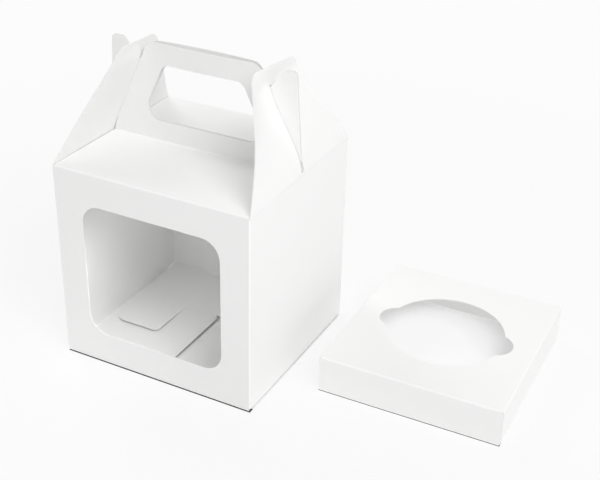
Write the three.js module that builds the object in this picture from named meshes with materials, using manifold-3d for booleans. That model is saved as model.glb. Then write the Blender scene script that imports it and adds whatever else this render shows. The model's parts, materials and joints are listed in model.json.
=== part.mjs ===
// Cupcake box in white card: a carton folded from one sheet, with a window in its front wall,
// a locked bottom, a carrying handle and a hooked flap on each side, and its cupcake insert.
// Millimetres, +Z up. X runs along the front wall and Y towards the back. The origin is on the
// table, under the middle of the carton.

import * as THREE from "three";
import { mergeVertices } from "three/addons/utils/BufferGeometryUtils.js";
import Module from "manifold-3d";

const wasm = await Module();
wasm.setup();

// Card
const board = 0.45;
const creaseInside = 0.15;
const layerGap = 0.15;

// Carton walls
const boxWidth = 100;
const boxDepth = 92.5;
const boxHeight = 98;
const glueFlapWidth = 13;
const glueFlapTaper = 4;
const seamInset = 0.3;

// Window in the front wall
const windowWidth = 71;
const windowHeight = 66.5;
const windowSill = 16;
const windowRadius = 9.5;

// Handle and grip hole, above the roof
const handleHeight = 47;
const handleGap = 0.3;
const handleBulge = 0.9;
const shoulderHalf = 28;
const shoulderRadius = 5.5;
const gripHalfLow = 29.2;
const gripHalfHigh = 20.3;
const gripBottom = 9.8;
const gripWaist = 18.2;
const gripTop = 37.3;
const gripLowRadius = 6;
const gripHighRadius = 5;

// Hooked ears at the ends of the handle
const earInset = 2.5;
const earTopWidth = 4.8;
const earRadius = 2.2;
const earFootInset = 0.3;
const earFootHeight = 5.8;
const earFootRadius = 0.7;
const neckInset = 3.9;
const neckHeight = 9.2;
const neckRadius = 0.9;
const notchWidth = 1.3;
const notchRadius = 0.4;

// Side flaps, measured up the flap from their fold
const flapTilt = THREE.MathUtils.degToRad(23.4);
const flapLength = 51.5;
const flapTopHalf = 17.3;
const flapRadius = 5.5;
const flapEndGap = 0.4;
const slitStart = 1;
const slitEnd = 40.6;
const slitEye = 1.3;
const slitEndFlat = 0.1;

// How far each side flap bows outwards: in the middle of its foot, at its front edge and its top
const bow = {
  left: { foot: 0.3, edge: 1.2, top: 2.2 },
  right: { foot: 1.8, edge: 5.2, top: 5 },
};
const bowHeight = 32;
const footSkew = 0.65;
const rearBowShare = 0.2;

// Clearances
const foldPlay = 0.5;
const roofPlay = 0.3;
const roofTaper = 1.1;
const slitPlay = 0.35;
const hookPlay = 0.8;

// Locked bottom, measured from the middle of the carton
const recessHalf = 24.5;
const recessEdge = 13;
const legReach = 12;
const legInset = 2;
const legRadius = 5;
const recessRadius = 3;
const sideFlapSplit = 0.6;
const sideFlapSlot = 0.8;
const sideFlapSlant = 6;
const sideFlapInset = 1;
const tongueHalf = 19;
const tongueLength = 12;
const tongueStep = 3;
const tongueRadius = 5;
const frontFlapShoulder = 11;
const frontFlapInset = 3;

// Insert: a tray with its open side down, and a round hole with two finger notches
const insertWidth = 86.7;
const insertDepth = 94.4;
const insertHeight = 18;
const insertTaper = 0.7;
const insertPlace = { x: 111.2, y: 32, turn: THREE.MathUtils.degToRad(1.33) };
const cakeRadius = 28;
const notchCentre = 24;
const fingerRadius = 8.8;

// Facets
const foldSteps = 4;
const arcSteps = 7;
const flapColumns = 18;
const flapRows = 16;
const flapRowSpread = 1.6;
const handleColumns = 14;
const handleRows = 7;

// Worked out from the sizes above
const half = board / 2;
const foldRadius = creaseInside + half;
const foldOuter = creaseInside + board;
const level = (layer) => half + layer * (board + layerGap);
const wallX = boxWidth / 2 - half;
const wallY = boxDepth / 2 - half;
const flatX = boxWidth / 2 - foldOuter;
const flatY = boxDepth / 2 - foldOuter;
const hingeZ = boxHeight - half;
const sideWallTop = boxHeight - board - foldPlay;
const postFoot = level(1) - half + foldOuter;
const roofHalf = wallX - Math.tan(flapTilt) * half - half / Math.cos(flapTilt) - roofPlay;
const handleY = handleGap / 2 + half;
const slitWidth = 2 * board + handleGap + 2 * slitPlay;
const slitRadius = (slitWidth - slitEndFlat) / 2;
const notchX = wallX - Math.sin(flapTilt) * (slitEnd - hookPlay);
const notchZ = hingeZ + Math.cos(flapTilt) * (slitEnd - hookPlay);
const beyond = 2 * boxWidth + boxHeight;

// A closed mesh as a solid that can be cut and joined.
function solid(geometry) {
  const bare = geometry.clone();
  bare.deleteAttribute("normal");
  bare.deleteAttribute("uv");
  const merged = mergeVertices(bare);
  return new wasm.Manifold(new wasm.Mesh({
    numProp: 3,
    vertProperties: new Float32Array(merged.attributes.position.array),
    triVerts: new Uint32Array(merged.index.array),
  }));
}

// A finished solid as a named mesh of white card.
function cardMesh(name, piece) {
  const result = piece.getMesh();
  const geometry = new THREE.BufferGeometry();
  geometry.setAttribute("position", new THREE.BufferAttribute(result.vertProperties, 3));
  geometry.setIndex(new THREE.BufferAttribute(result.triVerts, 1));
  geometry.computeVertexNormals();
  const card = new THREE.MeshStandardMaterial({ color: 0xf5f5f4, roughness: 0.62, metalness: 0 });
  const mesh = new THREE.Mesh(geometry, card);
  mesh.name = name;
  return mesh;
}

// A flat shape carried along an axis. Seen along X it lies in YZ, along Y in XZ, along Z in XY.
function prism(shape, axis, low, high) {
  const geometry = new THREE.ExtrudeGeometry(shape, { depth: 1, bevelEnabled: false });
  const corners = geometry.attributes.position;
  for (let i = 0; i < corners.count; i += 1) {
    const [u, v] = [corners.getX(i), corners.getY(i)];
    const end = corners.getZ(i) > 0;
    if (axis === "x") corners.setXYZ(i, end ? high : low, u, v);
    if (axis === "y") corners.setXYZ(i, u, end ? low : high, v);
    if (axis === "z") corners.setXYZ(i, u, v, end ? high : low);
  }
  return solid(geometry);
}

function block(low, high) {
  const geometry = new THREE.BoxGeometry();
  const corners = geometry.attributes.position;
  for (let i = 0; i < corners.count; i += 1) {
    const signs = [corners.getX(i), corners.getY(i), corners.getZ(i)];
    corners.setXYZ(i, ...signs.map((sign, k) => (sign > 0 ? high[k] : low[k])));
  }
  return solid(geometry);
}

const leftOf = (direction) => new THREE.Vector2(-direction.y, direction.x);

// The turn at a corner between its neighbours, and the centre and start of a round of a given
// radius there.
function cornerRound(before, corner, after, radius) {
  const into = corner.clone().sub(before).normalize();
  const out = after.clone().sub(corner).normalize();
  const turn = Math.atan2(into.cross(out), into.dot(out));
  const start = corner.clone().addScaledVector(into, -radius * Math.tan(Math.abs(turn) / 2));
  const centre = start.clone().addScaledVector(leftOf(into), Math.sign(turn) * radius);
  return { into, turn, start, centre };
}

// Closed outline through corners given as [x, y, radius].
function outline(corners) {
  const points = corners.map(([x, y]) => new THREE.Vector2(x, y));
  return new THREE.Shape(points.flatMap((corner, i) => {
    const radius = corners[i][2] ?? 0;
    if (radius === 0) return [corner];
    const after = points[(i + 1) % points.length];
    const { turn, start, centre } = cornerRound(points.at(i - 1), corner, after, radius);
    const steps = Math.ceil(Math.abs(turn) / (Math.PI / 2) * arcSteps);
    return Array.from({ length: steps + 1 }, (_, step) => (
      start.clone().rotateAround(centre, turn * step / steps)
    ));
  }));
}

// Outline that is the same on both sides of x = 0, from its right half, top to bottom.
function evenOutline(rightHalf) {
  const leftHalf = rightHalf.map(([x, y, radius]) => [-x, y, radius]).reverse();
  return outline([...rightHalf, ...leftHalf]);
}

// Folded card seen end-on, along the middle of its thickness, with a small round at each fold.
function cardSection(corners) {
  const near = [];
  const far = [];
  const points = corners.map(([x, y]) => new THREE.Vector2(x, y));
  const addPair = (spot, direction) => {
    near.push(spot.clone().addScaledVector(leftOf(direction), half));
    far.unshift(spot.clone().addScaledVector(leftOf(direction), -half));
  };
  points.forEach((corner, i) => {
    if (i === 0) {
      addPair(corner, points[1].clone().sub(corner).normalize());
    } else if (i === points.length - 1) {
      addPair(corner, corner.clone().sub(points[i - 1]).normalize());
    } else {
      const { into, turn, centre } = cornerRound(points[i - 1], corner, points[i + 1], foldRadius);
      for (let step = 0; step <= foldSteps; step += 1) {
        const direction = into.clone().rotateAround(new THREE.Vector2(), turn * step / foldSteps);
        const reach = -Math.sign(turn) * foldRadius;
        addPair(centre.clone().addScaledVector(leftOf(direction), reach), direction);
      }
    }
  });
  return new THREE.Shape([...near, ...far]);
}

// A sheet of card that follows a surface, which gives a point and the direction of its far face.
// Its lower edge is rounded about its middle, as at a fold.
function curvedSheet(columns, rows, surface) {
  const corners = [];
  const faces = [];
  const loop = 2 * rows + 1 + foldSteps;
  const quad = (a, b, c, d) => faces.push(a, b, c, a, c, d);
  for (let column = 0; column <= columns; column += 1) {
    const spots = Array.from({ length: rows + 1 }, (_, row) => surface(column / columns, row / rows));
    const add = ({ point, side }, angle) => {
      const down = spots[0].point.clone().sub(spots[1].point);
      down.addScaledVector(side, -down.dot(side)).normalize();
      corners.push(...point.clone()
        .addScaledVector(side, -half * Math.cos(angle))
        .addScaledVector(down, half * Math.sin(angle)));
    };
    spots.slice(1).reverse().forEach((spot) => add(spot, 0));
    for (let step = 0; step <= foldSteps; step += 1) add(spots[0], Math.PI * step / foldSteps);
    spots.slice(1).forEach((spot) => add(spot, Math.PI));
  }
  for (let column = 0; column < columns; column += 1) {
    for (let i = 0; i < loop; i += 1) {
      const next = (i + 1) % loop;
      const [from, to] = [column * loop, (column + 1) * loop];
      quad(from + i, to + i, to + next, from + next);
    }
  }
  for (const [from, flip] of [[0, false], [columns * loop, true]]) {
    for (let i = 0; i < Math.floor((loop - 1) / 2); i += 1) {
      const ring = [i, i + 1, loop - 2 - i, loop - 1 - i].map((k) => from + k);
      if (new Set(ring).size === 4) quad(...(flip ? ring.reverse() : ring));
      else faces.push(...(flip ? [ring[1], ring[0], ring[3]] : [ring[0], ring[1], ring[3]]));
    }
  }
  const geometry = new THREE.BufferGeometry();
  geometry.setAttribute("position", new THREE.Float32BufferAttribute(corners, 3));
  geometry.setIndex(faces);
  return solid(geometry);
}

// Cuts away what a region holds outside an outline.
const trim = (piece, region, kept) => piece.subtract(region.subtract(kept));

// Grip hole, the same in both handle panels
function gripOutline() {
  return evenOutline([
    [gripHalfHigh, boxHeight + gripTop, gripHighRadius],
    [gripHalfLow, boxHeight + gripWaist, gripLowRadius / 2],
    [gripHalfLow, boxHeight + gripBottom, gripLowRadius],
  ]);
}

// Handle panel with rounded shoulders, and beyond a notch on each side a hooked ear
function handleOutline() {
  const top = boxHeight + handleHeight;
  const earOuter = boxWidth / 2 - earInset;
  return evenOutline([
    [shoulderHalf, top, shoulderRadius],
    [notchX - notchWidth / 2, notchZ, notchRadius],
    [notchX + notchWidth / 2, notchZ, notchRadius],
    [earOuter - earTopWidth, top, earRadius],
    [earOuter, top, earRadius],
    [boxWidth / 2 - earFootInset, boxHeight + earFootHeight, earFootRadius],
    [boxWidth / 2 - neckInset, boxHeight + neckHeight, neckRadius],
    [boxWidth / 2 - neckInset, boxHeight - board],
  ]);
}

// One wall with its bottom flap, roof panel and the foot of its handle panel, as one strip.
function longStrip(toward, bottomCorners, low, high) {
  const joint = boxHeight + earFootHeight;
  const section = cardSection([
    ...bottomCorners,
    [toward * wallY, boxHeight - half],
    [toward * handleY, boxHeight - half],
    [toward * handleY, joint],
  ]);
  const handle = curvedSheet(handleColumns, handleRows, (across, up) => {
    const x = (across * 2 - 1) * boxWidth / 2;
    const swell = Math.max(0, 1 - (x / shoulderHalf) ** 2) ** 2 * up ** 2 * (3 - 2 * up);
    const y = toward * (handleY + handleBulge * swell);
    const z = THREE.MathUtils.lerp(joint, boxHeight + handleHeight + board, up);
    return { point: new THREE.Vector3(x, y, z), side: new THREE.Vector3(0, -1, 0) };
  });
  const roofEnds = block([-beyond, -beyond, boxHeight - foldOuter], [beyond, beyond, beyond]);
  const roof = prism(evenOutline([
    [roofHalf, beyond],
    [roofHalf, flatY],
    [roofHalf - roofTaper, 0],
    [roofHalf, -flatY],
    [roofHalf, -beyond],
  ]), "z", -beyond, boxHeight);
  const panel = prism(handleOutline(), "y", -beyond, beyond);
  const grip = prism(gripOutline(), "y", -beyond, beyond);
  return trim(prism(section, "x", low, high).add(handle), roofEnds, roof.add(panel)).subtract(grip);
}

// Front strip: window wall, outermost bottom flap and its tongue, which steps up a layer
// through the slot behind the side flaps.
function frontStrip() {
  const stepStart = recessEdge - sideFlapSlot;
  const strip = longStrip(-1, [
    [recessEdge + tongueLength, level(1)],
    [stepStart + tongueStep, level(1)],
    [stepStart, level(0)],
    [-wallY, level(0)],
  ], -flatX, flatX);
  const region = block([-beyond, -flatY, -beyond], [beyond, beyond, level(2)]);
  const flap = evenOutline([
    [flatX, -boxDepth / 2],
    [flatX, -flatY],
    [flatX - frontFlapInset, recessEdge - frontFlapShoulder, legRadius],
    [tongueHalf + frontFlapInset, recessEdge - frontFlapInset, recessRadius],
    [tongueHalf, recessEdge],
    [tongueHalf, recessEdge + tongueLength, tongueRadius],
  ]);
  const opening = evenOutline([
    [windowWidth / 2, windowSill + windowHeight, windowRadius],
    [windowWidth / 2, windowSill, windowRadius],
  ]);
  return trim(strip, region, prism(flap, "z", -beyond, beyond))
    .subtract(prism(opening, "y", -boxDepth, -flatY + board));
}

// Rear strip: back wall and innermost bottom flap, whose recess leaves a leg on each side.
function rearStrip() {
  const strip = longStrip(1, [
    [-legReach, level(2)],
    [wallY, level(2)],
  ], -flatX, boxWidth / 2 - seamInset);
  const region = block([-beyond, -beyond, -beyond], [beyond, flatY, level(3)]);
  const flap = evenOutline([
    [flatX, boxDepth / 2],
    [flatX, flatY],
    [flatX - legInset, -legReach, legRadius],
    [recessHalf, -legReach, recessRadius],
    [recessHalf, recessEdge, recessRadius],
  ]);
  return trim(strip, region, prism(flap, "z", -beyond, beyond));
}

// Side strip: side wall and middle bottom flap. Its upper edge carries the side flap.
function sideStrip(side, rearEnd) {
  const section = cardSection([
    [side * sideFlapSplit, level(1)],
    [side * wallX, level(1)],
    [side * wallX, sideWallTop],
  ]);
  const strip = prism(section, "y", -flatY, rearEnd);
  const low = [side > 0 ? 0 : -flatX, -beyond, -beyond];
  const high = [side > 0 ? flatX : 0, beyond, level(2)];
  const flap = outline([
    [side * flatX, -flatY + sideFlapInset],
    [side * boxWidth / 2, -flatY + sideFlapInset],
    [side * boxWidth / 2, flatY - sideFlapSlant],
    [side * flatX, flatY - sideFlapSlant],
    [side * recessHalf, recessEdge - sideFlapSlot],
    [side * sideFlapSplit, recessEdge - sideFlapSlot, recessRadius],
    [side * sideFlapSplit, -flatY + 2 * sideFlapInset, recessRadius],
  ]);
  return trim(strip, block(low, high), prism(flap, "z", -beyond, beyond));
}

// Upright fold between two walls, given by the directions of its corner.
function cornerPost(sideX, sideY) {
  const section = cardSection([
    [sideX * flatX, sideY * wallY],
    [sideX * wallX, sideY * wallY],
    [sideX * wallX, sideY * flatY],
  ]);
  return prism(section, "z", postFoot, sideWallTop);
}

// Glue flap: turned in from the right wall and glued to the inside of the back wall.
function glueFlap() {
  const inner = wallY - board;
  const tip = boxWidth / 2 - glueFlapWidth;
  const section = cardSection([
    [wallX, flatY - board],
    [wallX, inner],
    [tip, inner],
  ]);
  const shape = outline([
    [boxWidth, postFoot + layerGap + board],
    [flatX, postFoot + layerGap + board],
    [tip, postFoot + glueFlapTaper],
    [tip, sideWallTop - glueFlapTaper],
    [flatX, sideWallTop],
    [boxWidth, sideWallTop],
  ]);
  return prism(section, "z", postFoot, sideWallTop).intersect(prism(shape, "y", 0, boxDepth));
}

function wholeCarton() {
  return [
    frontStrip(),
    rearStrip(),
    sideStrip(-1, flatY),
    sideStrip(1, flatY - board),
    cornerPost(-1, -1),
    cornerPost(1, -1),
    cornerPost(-1, 1),
    glueFlap(),
  ].reduce((sum, piece) => sum.add(piece));
}

// The ear's hook above the notch, one on each panel at each end. It bends while a side flap is
// pulled off or pushed on, so each hook is kept as a piece of its own.
function hookRegion(side, toward) {
  const low = [side > 0 ? notchX : -beyond, toward > 0 ? 0 : -beyond, notchZ + notchRadius];
  const high = [side > 0 ? beyond : -notchX, toward > 0 ? beyond : 0, beyond];
  return block(low, high);
}

// Side flap in its own frame: its fold along Y, up the flap along Z. It leaves its fold upright,
// is pulled in by the hooks, and curls outwards at its front edge and its top.
function sideFlap(side, curl) {
  const base = boxDepth / 2 - flapEndGap;
  const halfWidth = (up) => THREE.MathUtils.lerp(base, flapTopHalf, up / flapLength);
  const offset = (y, up) => {
    const climb = Math.min(up / bowHeight, 1);
    const foot = curl.foot * Math.sin(Math.PI * climb ** footSkew);
    const edge = curl.edge * Math.sin(Math.PI / 2 * climb);
    const share = (y < 0 ? 1 : rearBowShare) * (y / halfWidth(up)) ** 2;
    const top = THREE.MathUtils.smoothstep(up, slitEnd - slitStart, flapLength);
    return side * THREE.MathUtils.lerp(THREE.MathUtils.lerp(foot, edge, share), curl.top, top);
  };
  const sheet = curvedSheet(flapColumns, flapRows, (across, up) => {
    const z = up ** flapRowSpread * (flapLength + board);
    const y = (across * 2 - 1) * (halfWidth(z) + board);
    const slopeY = (offset(y + board, z) - offset(y - board, z)) / (2 * board);
    const slopeZ = (offset(y, z + board) - offset(y, z)) / board;
    const side = new THREE.Vector3(1, -slopeY, -slopeZ).normalize();
    return { point: new THREE.Vector3(offset(y, z), y, z), side };
  });
  const edge = evenOutline([
    [flapTopHalf, flapLength, flapRadius],
    [base, 0],
    [base, -board],
  ]);
  const slit = evenOutline([
    [slitWidth / 2, slitEnd, slitRadius],
    [slitWidth / 2, slitStart + slitEye],
  ]);
  const eye = new THREE.Shape().absarc(0, slitStart + slitEye, slitEye, 0, 2 * Math.PI);
  return sheet
    .intersect(prism(edge, "x", -beyond, beyond))
    .subtract(prism(slit, "x", -beyond, beyond))
    .subtract(prism(eye, "x", -beyond, beyond));
}

// Round hole for the cake with a finger notch on its left and right.
function cakeOutline() {
  const meetX = (cakeRadius ** 2 - fingerRadius ** 2 + notchCentre ** 2) / (2 * notchCentre);
  const meetY = Math.sqrt(cakeRadius ** 2 - meetX ** 2);
  const around = Math.atan2(meetY, meetX);
  const finger = Math.atan2(meetY, meetX - notchCentre);
  const shape = new THREE.Shape();
  shape.absarc(0, 0, cakeRadius, around, Math.PI - around);
  shape.absarc(-notchCentre, 0, fingerRadius, Math.PI - finger, Math.PI + finger);
  shape.absarc(0, 0, cakeRadius, Math.PI + around, 2 * Math.PI - around);
  shape.absarc(notchCentre, 0, fingerRadius, -finger, finger);
  return shape;
}

// Insert: a cross-shaped blank with four walls folded down. Its corners stay open.
function insertTray() {
  const strip = (length, width, axis) => {
    const section = cardSection([
      [-length / 2 + half, 0],
      [-length / 2 + half, insertHeight - half],
      [length / 2 - half, insertHeight - half],
      [length / 2 - half, 0],
    ]);
    const reach = width / 2 - foldOuter;
    const kept = evenOutline([
      [reach, insertHeight + board],
      [reach, insertHeight - foldOuter],
      [reach - insertTaper, -board],
    ]);
    const across = axis === "x" ? "y" : "x";
    return prism(section, axis, -reach, reach).intersect(prism(kept, across, -beyond, beyond));
  };
  return strip(insertDepth, insertWidth, "x")
    .add(strip(insertWidth, insertDepth, "y"))
    .subtract(prism(cakeOutline(), "z", -beyond, beyond));
}

const box = new THREE.Group();

const hooks = new THREE.Group();
let carton = wholeCarton();
for (const [sideName, side] of [["left", -1], ["right", 1]]) {
  for (const [placeName, toward] of [["front", -1], ["rear", 1]]) {
    const region = hookRegion(side, toward);
    hooks.add(cardMesh(`hook_${placeName}_${sideName}`, carton.intersect(region)));
    carton = carton.subtract(region);
  }
}
box.add(cardMesh("carton", carton), hooks);

for (const [sideName, side] of [["left", -1], ["right", 1]]) {
  const flap = cardMesh(`side_flap_${sideName}`, sideFlap(side, bow[sideName]));
  flap.position.set(side * wallX, 0, hingeZ);
  flap.rotation.y = -side * flapTilt;
  box.add(flap);
}

const insert = cardMesh("insert", insertTray());
insert.position.set(insertPlace.x, insertPlace.y, 0);
insert.rotation.z = insertPlace.turn;
box.add(insert);

export default box;
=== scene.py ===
import json
import math

import bmesh
import bpy
from mathutils import Matrix, Vector

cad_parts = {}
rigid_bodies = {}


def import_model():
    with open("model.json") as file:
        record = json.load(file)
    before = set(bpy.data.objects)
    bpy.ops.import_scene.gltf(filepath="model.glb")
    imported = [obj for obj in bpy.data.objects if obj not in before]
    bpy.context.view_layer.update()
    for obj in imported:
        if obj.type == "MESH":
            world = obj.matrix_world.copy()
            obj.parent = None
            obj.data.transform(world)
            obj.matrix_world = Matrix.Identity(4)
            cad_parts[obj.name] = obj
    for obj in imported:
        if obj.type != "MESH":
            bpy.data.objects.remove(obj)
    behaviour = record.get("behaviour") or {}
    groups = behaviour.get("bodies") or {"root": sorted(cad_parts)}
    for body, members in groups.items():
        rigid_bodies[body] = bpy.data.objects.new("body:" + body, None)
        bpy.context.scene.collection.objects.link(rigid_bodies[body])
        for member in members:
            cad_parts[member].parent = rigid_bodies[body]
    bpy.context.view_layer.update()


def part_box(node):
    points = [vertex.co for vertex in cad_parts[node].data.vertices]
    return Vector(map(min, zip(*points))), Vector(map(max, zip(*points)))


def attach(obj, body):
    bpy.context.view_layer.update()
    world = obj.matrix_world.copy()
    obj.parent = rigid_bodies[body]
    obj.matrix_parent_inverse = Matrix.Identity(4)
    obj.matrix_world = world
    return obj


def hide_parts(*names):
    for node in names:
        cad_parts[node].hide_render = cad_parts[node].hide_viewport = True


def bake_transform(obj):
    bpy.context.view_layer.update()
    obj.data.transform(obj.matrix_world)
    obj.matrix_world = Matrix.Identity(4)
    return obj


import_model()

# Camera
# A long lens looks down on the box past its right front corner, with the insert on the right.
# It is turned a little about its own axis.
camera_target = Vector((0.037146, 0.024381, 0.05))
camera_distance = 0.544953
camera_azimuth = math.radians(26.87)
camera_elevation = math.radians(29.38)
camera_roll = math.radians(1.46)
camera_lens = 68.5

toward_camera = Vector((
    math.sin(camera_azimuth) * math.cos(camera_elevation),
    -math.cos(camera_azimuth) * math.cos(camera_elevation),
    math.sin(camera_elevation),
))
bpy.ops.object.camera_add(location=camera_target + toward_camera * camera_distance)
camera = bpy.context.object
level_turn = toward_camera.to_track_quat("Z", "Y").to_matrix()
camera.rotation_euler = (level_turn @ Matrix.Rotation(camera_roll, 3, "Z")).to_euler()
camera.data.lens = camera_lens
bpy.context.scene.camera = camera
bpy.context.scene.view_settings.view_transform = "Standard"


# Floor and light
# A sweep of white paper that the box and its insert stand on, in a white room. A wide soft lamp
# stands high on the front right, a weaker one at the back left, and two small ones in the box.
class Value:
    """A shader socket in a formula. Each operator adds its Math node."""

    def __init__(self, socket):
        self.socket = socket

    @classmethod
    def node(cls, tree, kind, sockets, output=0, **settings):
        """Adds a node, sets it up, fills or links its sockets and gives one of its outputs."""
        made = tree.nodes.new("ShaderNode" + kind)
        for name, setting in settings.items():
            setattr(made, name, setting)
        for place, value in sockets.items():
            if isinstance(value, cls):
                tree.links.new(value.socket, made.inputs[place])
            else:
                made.inputs[place].default_value = value
        return cls(made.outputs[output])

    def math(self, operation, first, second):
        return Value.node(
            self.socket.id_data, "Math", {0: first, 1: second}, operation=operation
        )

    def __add__(self, other):
        return self.math("ADD", self, other)

    def __sub__(self, other):
        return self.math("SUBTRACT", self, other)

    def __mul__(self, other):
        return self.math("MULTIPLY", self, other)

    def __rsub__(self, other):
        return self.math("SUBTRACT", other, self)

    __radd__ = __add__
    __rmul__ = __mul__

    def within(self, reach):
        """1 where the value is nearer to 0 than reach, and 0 elsewhere."""
        return self.math("LESS_THAN", self.math("ABSOLUTE", self, 0), reach)


def finish_shader(owner, shader):
    """Leads a shader to the output of a material or of the room."""
    tree = owner.node_tree
    kind = "World" if isinstance(owner, bpy.types.World) else "Material"
    out = tree.nodes.new("ShaderNodeOutput" + kind)
    tree.links.new(shader.socket, out.inputs["Surface"])


def blank_tree(owner):
    owner.use_nodes = True
    owner.node_tree.nodes.clear()
    return owner.node_tree


white_seen = 0.973
room_light = 0.565
room = bpy.data.worlds.new("white_room")
bpy.context.scene.world = room
tree = blank_tree(room)
seen = Value.node(tree, "LightPath", {}, "Is Camera Ray")
seen = seen + Value.node(tree, "LightPath", {}, "Is Glossy Ray")
seen = seen + Value.node(tree, "LightPath", {}, "Is Transmission Ray")
strength = seen * (white_seen - room_light) + room_light
finish_shader(room, Value.node(tree, "Background", {"Color": (1, 1, 1, 1), "Strength": strength}))

paper_size = 8
paper_gap = 0.0004
paper_white = (0.95, 0.95, 0.95, 1)
# Dark colour of the painted contact shadow at each piece's front foot
painted_foot_shadow = (0.1, 0.1, 0.1, 1)
paper_glow = 0.8
shadow_near = 0.2
shadow_far = 0.45
# How far in from a piece's front edge its painted contact shadow reaches
foot_shadow_reach = 0.003
patch_shift = Vector((-0.008, 0.018))
patch_inner = 0.022
patch_outer = 0.036
patch_glow = 0.66
shade_glow = 0.1
inside_glow = 0.72
insert_size = Vector((0.08666, 0.09436))
insert_turn = math.radians(1.33)
insert_centre = sum(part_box("insert"), Vector()) / 2
carton_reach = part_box("carton")[1]

bpy.ops.object.select_all(action="DESELECT")
bpy.ops.mesh.primitive_plane_add(size=paper_size, location=(0, 0, -paper_gap))
paper = bpy.context.object
paper.name = "paper_sweep"
white_paper = bpy.data.materials.new("white_paper")
paper.data.materials.append(white_paper)
tree = blank_tree(white_paper)
place = Value.node(tree, "TexCoord", {}, "Object")

# The camera sees the paper nearly white by its own glow, which is weaker near the pieces so that
# their shadows show, and there is none in a thin strip at each front foot, where a dark contact
# shadow is painted into the paper's colour
away = Value.node(tree, "VectorMath", {0: place}, "Value", operation="LENGTH")
fade = Value.node(
    tree, "MapRange", {"Value": away, "From Min": shadow_near, "From Max": shadow_far},
    interpolation_type="SMOOTHSTEP",
)


def under(footprint, centre, turn):
    """The paper under a piece that stands on it, and its strip of painted contact shadow at the
    piece's front foot.
    """
    on_piece = Value.node(
        tree, "Mapping",
        {"Vector": place, "Location": (*centre, 0), "Rotation": (0, 0, turn)},
        vector_type="TEXTURE",
    )
    across = Value.node(tree, "SeparateXYZ", {0: on_piece}, "X")
    along = Value.node(tree, "SeparateXYZ", {0: on_piece}, "Y")
    covered = across.within(footprint.x / 2) * along.within(footprint.y / 2)
    return covered, covered * (along + footprint.y / 2).within(foot_shadow_reach)


under_box, box_foot_shadow = under(carton_reach.xy * 2, (0, 0), 0)
under_insert, insert_foot_shadow = under(insert_size, insert_centre.xy, insert_turn)

# In the insert's hole the paper glows as a round patch, and it also lights the insert's inside
from_patch = Value.node(
    tree, "VectorMath", {0: place, 1: (*(insert_centre.xy + patch_shift), 0)}, "Value",
    operation="DISTANCE",
)
in_patch = Value.node(
    tree, "MapRange",
    {"Value": from_patch, "From Min": patch_outer, "From Max": patch_inner,
     "To Min": shade_glow, "To Max": patch_glow},
    interpolation_type="SMOOTHSTEP",
)
open_glow = fade + (1 - fade) * paper_glow
glow = (1 - under_box) * (1 - under_insert) * open_glow + under_insert * in_patch
# No glow in the painted contact shadow at the insert's front foot
glow = glow * (1 - insert_foot_shadow)
seen = Value.node(tree, "LightPath", {}, "Is Camera Ray")
# The paper's colour turns dark in the painted contact shadow at each front foot
colour = Value.node(
    tree, "Mix", {0: box_foot_shadow + insert_foot_shadow, 6: paper_white, 7: painted_foot_shadow}, 2,
    data_type="RGBA",
)
matt = Value.node(tree, "BsdfPrincipled", {"Base Color": colour, "Roughness": 1.0})
strength = inside_glow + seen * (white_seen - inside_glow)
plain = Value.node(tree, "Emission", {"Color": (1, 1, 1, 1), "Strength": strength})
shares = glow * seen + under_insert * (1 - seen)
finish_shader(white_paper, Value.node(tree, "MixShader", {0: shares, 1: matt, 2: plain}))


def add_lamp(name, spot, size, power, aim=(0, 0, 0)):
    """Adds a round soft lamp that faces the middle of the box's foot or another point."""
    bpy.ops.object.light_add(type="AREA", location=spot)
    lamp = bpy.context.object
    lamp.name = name
    lamp.data.shape = "DISK"
    lamp.data.size = size
    lamp.data.energy = power
    lamp.rotation_euler = (Vector(spot) - Vector(aim)).to_track_quat("Z", "Y").to_euler()
    return lamp


add_lamp("key_lamp", spot=(1.005, -0.58, 1.235), size=1.0, power=11.8)
add_lamp("fill_lamp", spot=(-1.128, 0.651, 1.093), size=0.9, power=5.6)
inner_lamps = [
    add_lamp("roof_lamp", spot=(0, 0, 0.085), size=0.02, power=0.0048),
    add_lamp(
        "sill_lamp", spot=(-0.01, -0.04, 0.05), size=0.02, power=0.0055, aim=(-0.05, -0.02, 0.005)
    ),
]
for lamp in inner_lamps:
    lamp.visible_camera = False


# Carton
# One die-cut sheet of white card: four walls glued inside the right rear corner, bottom flaps
# locked in three layers, and two roof panels whose ends stand up together as the handle with
# its hooked ears.
MM = 0.001
board = 0.45 * MM
layer_gap = 0.15 * MM
fold_radius = 0.375 * MM
fold_steps = 6
fold_least = math.radians(5)
arc_step = math.radians(9)
sharp_angle = math.radians(32)
relief = 0.15 * MM
same_spot = relief / 10
fold_room = fold_radius + relief
half = board / 2
punch_depth = 4 * board

# Walls, roof and glue flap
carton_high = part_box("carton")[1]
wall_x = carton_high.x - half
wall_y = carton_high.y - half
box_height = 98 * MM
roof_z = box_height - half
crease_drop = 0.5 * MM
wall_top = box_height - board - crease_drop
layer_z = [half + layer * (board + layer_gap) for layer in range(3)]
bottom_half = wall_x - fold_room
seam_inset = 0.3 * MM
glue_line = 0.02 * MM
glue_y = wall_y - board - glue_line
glue_width = 13 * MM
glue_tip = carton_high.x - glue_width
glue_taper = 4 * MM
roof_half = 49.38 * MM

# Window
window_half = 35.5 * MM
window_low = 16 * MM
window_high = 82.5 * MM
window_round = 9.5 * MM

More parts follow.
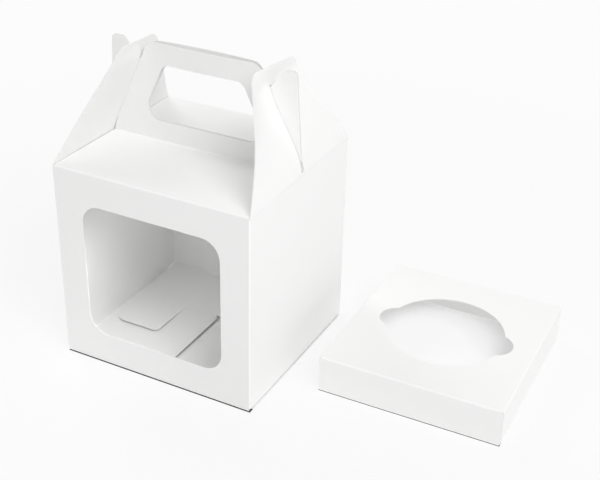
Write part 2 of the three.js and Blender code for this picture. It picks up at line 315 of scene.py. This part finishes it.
# Bottom flaps: front with its tongue, rear with a recess, and the two side ones
flap_round = 5 * MM
corner_round = 3 * MM
front_taper = 3 * MM
front_end = 2 * MM
shoulder_corner = (22 * MM, 10 * MM)
tongue_half = 19 * MM
tongue_tip = 25 * MM
step_low = 12.2 * MM
step_high = 15.2 * MM
recess_half = 20.1 * MM
recess_end = 11.6 * MM
leg_end = -15.5 * MM
rear_rise = 0.9 * MM
rear_bend = 7 * MM
rear_taper = 5 * MM
side_inset = 1 * MM
side_rear_inset = 6.4 * MM
side_front = -wall_y + fold_radius + side_inset
side_rear = wall_y - side_rear_inset
side_corner = 24.5 * MM
side_split = 0.6 * MM
side_slot = 0.1 * MM
side_end = recess_end - side_slot
side_rise = {-1: 0.9 * MM, 1: 0}

# Handle, with a neck and an ear at each end. The left ear (-1) is a little wider than the right
handle_y = 0.375 * MM
handle_top = 145 * MM
shoulder_half = 28 * MM
shoulder_round = 5.5 * MM
neck_foot = 48.95 * MM
neck_bend = (48.1 * MM, 101.2 * MM)
neck_half = 45.95 * MM
neck_z = 107.2 * MM
neck_round = 0.9 * MM
ear_feet = {-1: 49.7 * MM, 1: 49.3 * MM}
ear_foot_z = 103.8 * MM
ear_foot_round = 0.7 * MM
ear_outers = {-1: 47.5 * MM, 1: 46.4 * MM}
ear_inner = 41.2 * MM
ear_round = 2.2 * MM
notch_x = 33.3 * MM
notch_half = 0.65 * MM
notch_z = 135.9 * MM
notch_round = 0.4 * MM
grip_top_half = 20.3 * MM
grip_top_z = 135.3 * MM
grip_half = 29.2 * MM
grip_bend_z = 116.2 * MM
grip_low_z = 107.8 * MM
grip_rounds = (5 * MM, 3 * MM, 6 * MM)

# Surface of the card: its waves are some grains long, its shade is part cloud and part fibre, and
# its roughness spreads about the one that is given
wave_size = 5
cloud_scale = 70.0
cloud_share = 0.7
rough_spread = 0.14


def card_material(name, colour, roughness, grain, grain_height, cloudiness):
    """White board: fine fibres in its surface and a faint cloudiness in its white."""
    material = bpy.data.materials.new(name)
    tree = blank_tree(material)
    place = Value.node(tree, "TexCoord", {}, "Object")
    fibres = Value.node(tree, "TexNoise", {"Vector": place, "Scale": 1 / grain, "Detail": 3.0})
    wave_scale = 1 / (wave_size * grain)
    waves = Value.node(tree, "TexNoise", {"Vector": place, "Scale": wave_scale, "Detail": 1.0})
    clouds = Value.node(tree, "TexNoise", {"Vector": place, "Scale": cloud_scale, "Detail": 2.0})
    shade = clouds * cloud_share + fibres * (1 - cloud_share)
    duller = tuple(channel * (1 - cloudiness) for channel in colour)
    tint = Value.node(
        tree, "Mix", {0: shade, 6: (*duller, 1), 7: (*colour, 1)}, 2, data_type="RGBA",
    )
    height = fibres * grain_height + waves * (grain_height * 2)
    bump = Value.node(tree, "Bump", {"Height": height, "Distance": 1.0})
    rough = fibres * rough_spread + (roughness - rough_spread / 2)
    finish_shader(material, Value.node(
        tree, "BsdfPrincipled", {"Base Color": tint, "Roughness": rough, "Normal": bump}
    ))
    return material


coated_face = card_material(
    "coated_face", colour=(0.94, 0.94, 0.935), roughness=0.55,
    grain=0.5 * MM, grain_height=0.005 * MM, cloudiness=0.02,
)
cut_edge = card_material(
    "cut_edge", colour=(0.93, 0.925, 0.915), roughness=0.9,
    grain=0.25 * MM, grain_height=0.02 * MM, cloudiness=0.06,
)
# Creases are lighter than the flat card, partly from the cracked fibres of a fold and partly as a
# painted highlight along each fold
crease_with_painted_highlight = card_material(
    "crease_with_painted_highlight", colour=(0.98, 0.98, 0.975), roughness=0.65,
    grain=0.35 * MM, grain_height=0.008 * MM, cloudiness=0.03,
)
card_finishes = (coated_face, cut_edge, crease_with_painted_highlight)


def open_sheet(name, finishes):
    """Starts an empty piece and leaves it open for editing."""
    bpy.ops.object.select_all(action="DESELECT")
    bpy.ops.mesh.primitive_plane_add(size=board)
    piece = bpy.context.object
    piece.name = name
    for finish in finishes:
        piece.data.materials.append(finish)
    bpy.ops.object.mode_set(mode="EDIT")
    bpy.ops.mesh.delete(type="VERT")
    return piece


def select_where(piece, mode, test):
    """Selects only the vertices, edges or faces that pass a test."""
    bpy.ops.mesh.select_mode(type=mode)
    bpy.ops.mesh.select_all(action="DESELECT")
    mesh = bmesh.from_edit_mesh(piece.data)
    for part in {"VERT": mesh.verts, "EDGE": mesh.edges, "FACE": mesh.faces}[mode]:
        if test(part):
            part.select = True
    mesh.select_flush_mode()
    bmesh.update_edit_mesh(piece.data)


def trace(piece, corners, place):
    """Draws a cut line corner by corner, closes it as a panel and rounds the corners.

    A corner is (u, v) or (u, v, radius), and place turns its u and v into a point."""
    spots = [place(corner[0], corner[1]) for corner in corners]
    bpy.ops.mesh.select_mode(type="VERT")
    bpy.ops.mesh.select_all(action="DESELECT")
    bpy.ops.mesh.primitive_plane_add(size=board, location=spots[0])
    bpy.ops.mesh.merge(type="CENTER")
    for before, after in zip(spots, spots[1:]):
        bpy.ops.mesh.extrude_vertices_move(TRANSFORM_OT_translate={"value": after - before})
    bpy.ops.mesh.select_linked()
    bpy.ops.mesh.edge_face_add()
    for k, corner in enumerate(corners):
        if len(corner) < 3:
            continue
        spot = spots[k]
        turn = math.pi - (spots[k - 1] - spot).angle(spots[(k + 1) % len(spots)] - spot)
        select_where(piece, "VERT", lambda vertex: (vertex.co - spot).length < same_spot)
        bpy.ops.mesh.bevel(
            offset=corner[2] * math.tan(turn / 2),
            segments=max(3, round(turn / arc_step)),
            affect="VERTICES",
        )


def even(right_half):
    """A cut line that is the same on both sides, from its right half."""
    return right_half + [(-corner[0], *corner[1:]) for corner in reversed(right_half)]


# Where a cut line's u and v lie: on a panel that faces the front or a side, or on a level one
def on_front(y):
    return lambda u, v: Vector((u, y, v))


def on_side(x):
    return lambda u, v: Vector((x, u, v))


def on_level(z):
    return lambda u, v: Vector((u, v, z))


def apply_modifier(piece, kind, **settings):
    """Adds a modifier, sets it up and applies it."""
    bpy.ops.object.select_all(action="DESELECT")
    piece.select_set(True)
    bpy.context.view_layer.objects.active = piece
    modifier = piece.modifiers.new(kind.lower(), kind)
    for name, setting in settings.items():
        setattr(modifier, name, setting)
    bpy.ops.object.modifier_apply(modifier=modifier.name)


def fold_and_thicken(piece):
    """Joins the panels of a sheet, rounds its folds and gives the card its thickness."""
    bpy.ops.mesh.select_all(action="SELECT")
    bpy.ops.mesh.remove_doubles(threshold=same_spot)
    bpy.ops.mesh.normals_make_consistent(inside=False)
    select_where(piece, "EDGE", lambda edge: edge.calc_face_angle(0) > fold_least)
    bpy.ops.mesh.bevel(offset=fold_radius, segments=fold_steps, affect="EDGES")
    # The folds take the lighter crease card, which carries a painted highlight
    piece.active_material_index = card_finishes.index(crease_with_painted_highlight)
    bpy.ops.object.material_slot_assign()
    bpy.ops.object.mode_set(mode="OBJECT")
    apply_modifier(
        piece, "SOLIDIFY", thickness=board, offset=0, use_even_offset=True,
        material_offset_rim=card_finishes.index(cut_edge),
    )


def cut_out(piece, die):
    """Cuts a die's shape out of a piece, with the die's material on the cut."""
    apply_modifier(
        piece, "BOOLEAN", object=die, operation="DIFFERENCE", solver="EXACT",
        material_mode="TRANSFER",
    )
    bpy.data.objects.remove(die)


def punch(piece, corners, place, through):
    """Punches a hole. Its outline is drawn at place and carried through the card."""
    die = open_sheet("die", [cut_edge])
    trace(die, corners, place)
    bpy.ops.mesh.select_all(action="SELECT")
    bpy.ops.mesh.extrude_region_move(TRANSFORM_OT_translate={"value": through})
    bpy.ops.mesh.select_all(action="SELECT")
    bpy.ops.mesh.normals_make_consistent(inside=False)
    bpy.ops.object.mode_set(mode="OBJECT")
    cut_out(piece, die)


def add_rows(piece, places, direction, test=lambda face: True):
    """Cuts rows across the faces that pass a test, so that they can bend."""
    bpy.ops.object.mode_set(mode="EDIT")
    for spot in places:
        select_where(piece, "FACE", test)
        bpy.ops.mesh.bisect(plane_co=direction * spot, plane_no=direction)
    bpy.ops.object.mode_set(mode="OBJECT")


def smooth_card(piece):
    """Smooths bends and folds, and keeps flat panels flat and cut edges sharp."""
    bpy.ops.object.select_all(action="DESELECT")
    piece.select_set(True)
    bpy.context.view_layer.objects.active = piece
    bpy.ops.object.shade_smooth_by_angle(angle=sharp_angle)
    apply_modifier(piece, "WEIGHTED_NORMAL", keep_sharp=True)


def handle_end(side):
    """The cut line of one end of the handle: its neck, hooked ear, notch and shoulder."""
    return [
        (side * neck_foot, roof_z),
        (side * neck_bend[0], neck_bend[1]),
        (side * neck_half, neck_z, neck_round),
        (side * ear_feet[side], ear_foot_z, ear_foot_round),
        (side * ear_outers[side], handle_top, ear_round),
        (side * ear_inner, handle_top, ear_round),
        (side * (notch_x + notch_half), notch_z, notch_round),
        (side * (notch_x - notch_half), notch_z, notch_round),
        (side * shoulder_half, handle_top, shoulder_round),
    ]


carton = open_sheet("folded_carton", card_finishes)

# Front and back: the wall, the roof panel and the handle panel
for toward, layer, right_edge in ((-1, 1, wall_x), (1, 2, carton_high.x - seam_inset)):
    bottom_fold = layer_z[0 if toward < 0 else 2]
    foot = layer_z[layer] + fold_room
    trace(carton, [
        (-bottom_half, bottom_fold),
        (bottom_half, bottom_fold),
        (bottom_half, foot),
        (right_edge, foot),
        (right_edge, wall_top),
        (roof_half, wall_top),
        (roof_half, roof_z),
        (-roof_half, roof_z),
        (-roof_half, wall_top),
        (-wall_x, wall_top),
        (-wall_x, foot),
        (-bottom_half, foot),
    ], on_front(toward * wall_y))
    trace(carton, even([
        (roof_half, toward * wall_y),
        (neck_foot, toward * handle_y),
    ]), on_level(roof_z))
    trace(carton, handle_end(1) + handle_end(-1)[::-1], on_front(toward * handle_y))

# Front bottom flap, with a tongue that steps up behind the side flaps
trace(carton, even([
    (bottom_half, -wall_y),
    (bottom_half - front_taper, front_end, flap_round),
    (*shoulder_corner, corner_round),
    (tongue_half, step_low),
]), on_level(layer_z[0]))
trace(
    carton,
    even([(tongue_half, step_low), (tongue_half, step_high)]),
    lambda u, v: Vector((u, v, layer_z[0] if v < step_high else layer_z[1])),
)
trace(carton, even([
    (tongue_half, step_high),
    (tongue_half, tongue_tip, flap_round),
]), on_level(layer_z[1]))

# Rear bottom flap, with a recess between its two legs, which spring up a little
rear_slope = rear_taper / (wall_y - leg_end)
bend_half = bottom_half - rear_slope * (wall_y - rear_bend)
trace(carton, even([
    (bottom_half, wall_y),
    (bend_half, rear_bend),
    (recess_half, rear_bend),
    (recess_half, recess_end, corner_round),
]), on_level(layer_z[2]))
for side in (-1, 1):
    trace(carton, [
        (side * bend_half, rear_bend),
        (side * (bottom_half - rear_taper), leg_end, flap_round),
        (side * recess_half, leg_end, corner_round),
        (side * recess_half, rear_bend),
    ], lambda u, v: Vector((
        u, v, layer_z[2] + rear_rise * (rear_bend - v) / (rear_bend - leg_end)
    )))

# Side walls with their bottom flaps, and the glue flap on the right one
front_foot = layer_z[1] + fold_room
rear_foot = layer_z[2] + fold_room
for side, rear_fold in ((-1, wall_y), (1, glue_y)):
    trace(carton, [
        (-wall_y, front_foot),
        (side_front, front_foot),
        (side_front, layer_z[1]),
        (side_rear, layer_z[1]),
        (side_rear, front_foot),
        (rear_fold - fold_room, front_foot),
        (rear_fold - fold_room, rear_foot),
        (rear_fold, rear_foot),
        (rear_fold, wall_top),
        (-wall_y, wall_top),
    ], on_side(side * wall_x))
    trace(carton, [
        (side * wall_x, side_front),
        (side * wall_x, side_rear),
        (side * side_corner, step_low),
        (side * side_corner, side_end),
        (side * side_corner, side_front),
    ], on_level(layer_z[1]))
    trace(carton, [
        (side * side_corner, side_front),
        (side * side_corner, side_end),
        (side * side_split, side_end, corner_round),
        (side * side_split, side_front + side_inset, corner_round),
    ], lambda u, v: Vector((u, v, layer_z[1] + side_rise[side] * (1 - abs(u) / side_corner))))
trace(carton, [
    (wall_x, rear_foot),
    (wall_x, wall_top),
    (glue_tip, wall_top - glue_taper),
    (glue_tip, rear_foot + glue_taper),
], on_front(glue_y))

fold_and_thicken(carton)
punch(carton, even([
    (window_half, window_low, window_round),
    (window_half, window_high, window_round),
]), on_front(-wall_y - punch_depth / 2), Vector((0, punch_depth, 0)))
punch(carton, even([
    (grip_top_half, grip_top_z, grip_rounds[0]),
    (grip_half, grip_bend_z, grip_rounds[1]),
    (grip_half, grip_low_z, grip_rounds[2]),
]), on_front(-punch_depth), Vector((0, 2 * punch_depth, 0)))

# The handle's two panels touch at the fold and bow apart between the ears. Each has its own
# bulge, and a hold that says how quickly the bulge ends beside the notches
handle_bulges = {-1: 1.2 * MM, 1: 2.9 * MM}
bulge_holds = {-1: 2, 1: 0.7}
bulge_rise = 1.2
column_step = 2 * MM
column_count = 17
row_step = 3 * MM
row_count = 15


def in_handle(face):
    return face.calc_center_median().z > roof_z + 2 * board


columns = [k * column_step for k in range(-column_count, column_count + 1)]
rows = [box_height + k * row_step for k in range(1, row_count + 1)]
add_rows(carton, columns, Vector((1, 0, 0)), in_handle)
add_rows(carton, rows, Vector((0, 0, 1)), in_handle)
for vertex in carton.data.vertices:
    up = (vertex.co.z - box_height) / (handle_top - box_height)
    if up > 0:
        toward = math.copysign(1, vertex.co.y)
        across = max(0, 1 - (vertex.co.x / notch_x) ** 2) ** bulge_holds[toward]
        vertex.co.y += toward * handle_bulges[toward] * across * up ** bulge_rise
smooth_card(carton)
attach(carton, "box")
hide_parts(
    "carton", "hook_front_left", "hook_front_right", "hook_rear_left", "hook_rear_right"
)


# Side flaps
# The upper end of each side wall, creased at the wall's top and pressed in over the hooked ears,
# which go through its slit. The card springs out between the ears and its front edge.
flap_tilt = math.radians(23.4)
flap_length = 51.5 * MM
flap_foot_half = 45.85 * MM
flap_top_half = 17.3 * MM

# Slit, with a round eye at its foot. A roundness is the share of a half width that is rounded
slit_half = 0.95 * MM
slit_end = 42.3 * MM
slit_feet = {"left": 9 * MM, "right": 1 * MM}
slit_roundness = 0.94
eyes = {"left": 0.95 * MM, "right": 1.3 * MM}
eye_roundness = 0.99

# Upper corners: how far back the rear one is, how much lower than the front one, and its radius
rear_tops = {
    "left": (10.5 * MM, 1.2 * MM, 5.5 * MM),
    "right": (20.8 * MM, 3.2 * MM, 8 * MM),
}
front_rounds = {"left": 9.5 * MM, "right": 6.5 * MM}

# Bow: how far the card stands out near its foot, along its edges, at its top and at the top's rear
bow_height = 32 * MM
foot_skew = 0.65
rear_share = 0.2
bows = {
    "left": {"foot": 0.5 * MM, "edge": 1.2 * MM, "top": 2.2 * MM, "rear": 0},
    "right": {"foot": 1.8 * MM, "edge": 5.2 * MM, "top": 5 * MM, "rear": 0.6 * MM},
}

# Rows and columns that let it bend. The rows are close over the crease and then ever wider apart
crease_step = 0.16 * MM
crease_rows = [crease_step * k for k in range(1, 5)]
first_row = 0.6 * MM
row_power = 1.3
flap_rows = 30
flap_columns = 38


def ease(value, low, high):
    share = min(max((value - low) / (high - low), 0), 1)
    return share * share * (3 - 2 * share)


def lean(y, up, bow):
    """How far a flap stands out of its plane, at y and at a height up from its crease."""
    climb = min(up / bow_height, 1)
    foot = bow["foot"] * math.sin(math.pi * climb ** foot_skew)
    edge = bow["edge"] * math.sin(math.pi / 2 * climb)
    half_width = flap_foot_half + (flap_top_half - flap_foot_half) * up / flap_length
    share = (1 if y < 0 else rear_share) * (y / half_width) ** 2
    held = foot + (edge - foot) * share
    top = bow["top"] + bow["rear"] * ease(y, 0, flap_top_half)
    return held + (top - held) * ease(up, slit_end, flap_length)


def bend_flap(piece, side, bow):
    """Tilts and bows a flap that was drawn upright over its wall."""
    tilt = Matrix.Rotation(-side * flap_tilt, 3, "Y")
    crease = Vector((side * wall_x, 0, roof_z))
    upright = Vector((side, 0, 0))

    def middle(y, up):
        if up < first_row:
            out = lean(y, first_row, bow) * up / first_row
        else:
            out = lean(y, up, bow)
        return tilt @ Vector((side * out, y, up))

    step = 0.3 * MM
    for vertex in piece.data.vertices:
        outward = side * vertex.co.x - wall_x
        y, up = vertex.co.y, vertex.co.z - roof_z
        if up <= 0:
            continue
        along = middle(y + step, up) - middle(y - step, up)
        rising = middle(y, up + step) - middle(y, max(up - step, 0))
        normal = along.cross(rising).normalized()
        if normal.dot(upright) < 0:
            normal.negate()
        normal = upright.lerp(normal, ease(up, 0, first_row)).normalized()
        vertex.co = crease + middle(y, up) + normal * outward


for side_name, side in (("left", -1), ("right", 1)):
    rear_top, rear_drop, rear_round = rear_tops[side_name]
    flap = open_sheet(f"folded_flap_{side_name}", card_finishes)
    trace(flap, [
        (flap_foot_half, wall_top),
        (flap_foot_half, roof_z),
        (rear_top, roof_z + flap_length - rear_drop, rear_round),
        (-flap_top_half, roof_z + flap_length, front_rounds[side_name]),
        (-flap_foot_half, roof_z),
        (-flap_foot_half, wall_top),
    ], on_side(side * wall_x))
    bpy.ops.object.mode_set(mode="OBJECT")
    apply_modifier(
        flap, "SOLIDIFY", thickness=board, offset=0,
        material_offset_rim=card_finishes.index(cut_edge),
    )
    die_place = on_side(side * wall_x - punch_depth / 2)
    through = Vector((punch_depth, 0, 0))
    eye = eyes[side_name]
    eye_z = roof_z + slit_feet[side_name] + eye
    punch(flap, even([
        (slit_half, eye_z),
        (slit_half, roof_z + slit_end, slit_roundness * slit_half),
    ]), die_place, through)
    punch(flap, even([
        (eye, eye_z - eye, eye_roundness * eye),
        (eye, eye_z + eye, eye_roundness * eye),
    ]), die_place, through)
    add_rows(
        flap,
        [flap_foot_half * (2 * k / flap_columns - 1) for k in range(1, flap_columns)],
        Vector((0, 1, 0)),
    )
    rows = [up for up in crease_rows if up < first_row] + [
        first_row + (flap_length - first_row) * (k / flap_rows) ** row_power
        for k in range(flap_rows)
    ]
    add_rows(
        flap,
        [wall_top + up for up in crease_rows] + [roof_z + up for up in rows],
        Vector((0, 0, 1)),
    )
    bend_flap(flap, side, bows[side_name])
    smooth_card(flap)
    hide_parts(f"side_flap_{side_name}")
    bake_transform(flap)


# Insert
# A shallow tray of the same card, open below, that holds the cake off the bottom of the box. Its
# four walls are folded down and meet unglued, and its round hole has a finger notch each side.
insert_height = 18 * MM
insert_top = insert_height - half
insert_taper = 0.2 * MM
insert_spot = Matrix.Translation((*insert_centre.xy, 0))
insert_place = insert_spot @ Matrix.Rotation(insert_turn, 4, "Z")
cake_radius = 28 * MM
finger_place = 24 * MM
finger_radius = 8.8 * MM
hole_steps = 128

insert_face = card_material(
    "insert_face", colour=(0.95, 0.95, 0.945), roughness=0.55,
    grain=0.5 * MM, grain_height=0.005 * MM, cloudiness=0.02,
)
insert = open_sheet("folded_insert", (insert_face, cut_edge, crease_with_painted_highlight))
end_x = insert_size.x / 2 - half
end_y = insert_size.y / 2 - half
wall_half_x = end_x - fold_room
wall_half_y = end_y - fold_room
trace(insert, even([
    (wall_half_x, -end_y),
    (wall_half_x, -wall_half_y),
    (end_x, -wall_half_y),
    (end_x, wall_half_y),
    (wall_half_x, wall_half_y),
    (wall_half_x, end_y),
]), on_level(insert_top))
for side in (-1, 1):
    trace(insert, even([
        (wall_half_y, insert_top),
        (wall_half_y - insert_taper, 0),
    ]), on_side(side * end_x))
    trace(insert, even([
        (wall_half_x, insert_top),
        (wall_half_x, insert_top - fold_room),
        (end_x + half, insert_top - fold_room),
        (end_x + half - insert_taper, 0),
    ]), on_front(side * end_y))
fold_and_thicken(insert)
for x, radius in ((0, cake_radius), (-finger_place, finger_radius), (finger_place, finger_radius)):
    bpy.ops.mesh.primitive_cylinder_add(
        vertices=hole_steps, radius=radius, depth=punch_depth, location=(x, 0, insert_top)
    )
    die = bpy.context.object
    die.data.materials.append(cut_edge)
    cut_out(insert, die)
insert.matrix_world = insert_place
bpy.ops.object.select_all(action="DESELECT")
insert.select_set(True)
bpy.ops.object.transform_apply(location=True, rotation=True, scale=False)
smooth_card(insert)
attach(insert, "box")
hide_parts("insert")
